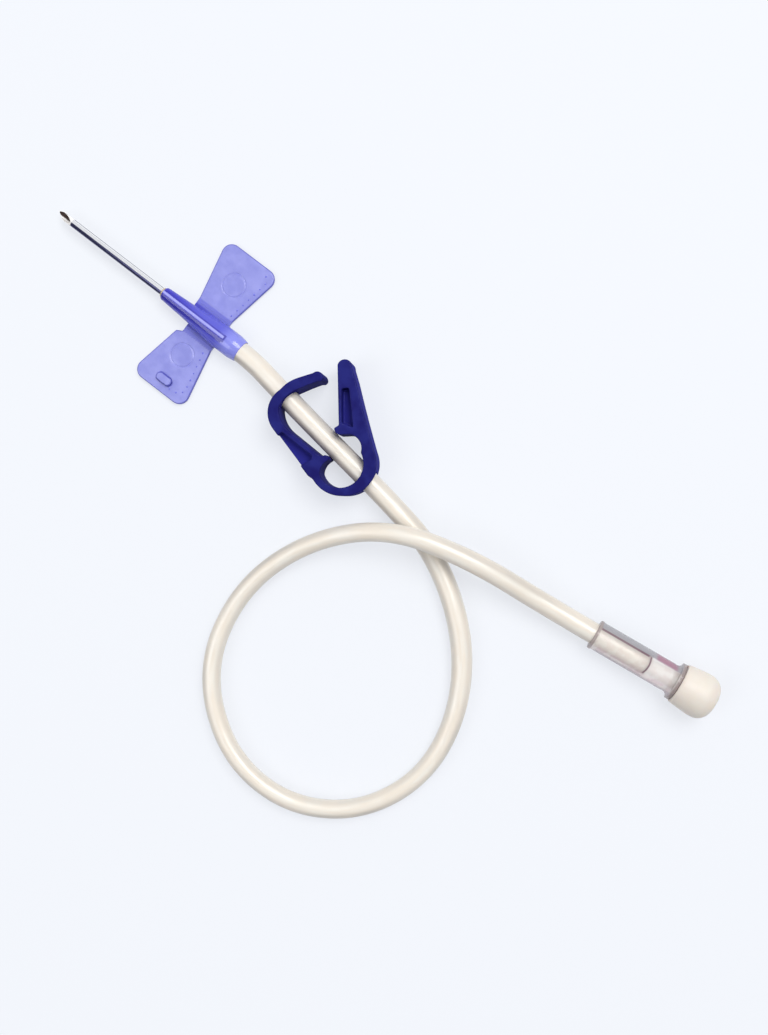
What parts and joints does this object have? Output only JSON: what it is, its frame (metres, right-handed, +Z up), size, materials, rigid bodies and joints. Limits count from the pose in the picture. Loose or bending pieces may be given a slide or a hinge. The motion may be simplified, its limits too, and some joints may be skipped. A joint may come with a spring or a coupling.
{
  "type": "fistula needle",
  "caption": "Winged steel fistula needle on a loop of clear tubing, with an open pinch clamp, a clear luer connector and its cap.",
  "frame": {"origin": "on the floor, below the middle of the needle and hub taken together", "axes": "+X along the needle towards its tip, +Y towards the wing with the peg, +Z up from the floor"},
  "size_m": [0.1861, 0.0971, 0.0149],
  "materials": {
    "needle_steel": "bright drawn steel",
    "adhesive": "cured clear adhesive, slightly amber",
    "hub_blue": "soft translucent blue vinyl, satin",
    "tube_clear": "soft clear vinyl, slightly cream",
    "clamp_navy": "satin moulded navy plastic",
    "connector_clear": "clear hard moulding, glossy",
    "cap_white": "cream white moulding, satin"
  },
  "bodies": {
    "root": {"hub": "hub_blue", "cannula": "needle_steel", "needle_bond": "adhesive", "tube": "tube_clear", "clamp_frame": "clamp_navy", "clamp_bow": "clamp_navy", "luer_connector": "connector_clear"},
    "wing_peg_side": {"wing_peg_side": "hub_blue"},
    "wing_plain_side": {"wing_plain_side": "hub_blue"},
    "clamp_arm": {"clamp_arm": "clamp_navy"},
    "luer_cap": {"luer_cap": "cap_white"}
  },
  "joints": [
    {"name": "wing_peg_side_fold", "type": "hinge", "parent": "root", "child": "wing_peg_side", "pos_m": [-0.0161, 0.0034, 0.00055], "axis": [1, 0, 0], "range_deg": [0, 85], "stiffness_Nm_per_rad": 0.004},
    {"name": "wing_plain_side_fold", "type": "hinge", "parent": "root", "child": "wing_plain_side", "pos_m": [-0.0161, -0.0034, 0.00055], "axis": [-1, 0, 0], "range_deg": [0, 85], "stiffness_Nm_per_rad": 0.004},
    {"name": "clamp_pinch", "type": "hinge", "parent": "root", "child": "clamp_arm", "pos_m": [-0.0707, -0.00733, 0.0044], "axis": [0, 0, 1], "range_deg": [0, 18], "stiffness_Nm_per_rad": 0.05, "deforming": ["tube", "clamp_bow"]},
    {"name": "cap_pull", "type": "slide", "parent": "root", "child": "luer_cap", "axis": [-0.9894, -0.1308, 0.0635], "range_m": [0, 0.01]}
  ]
}
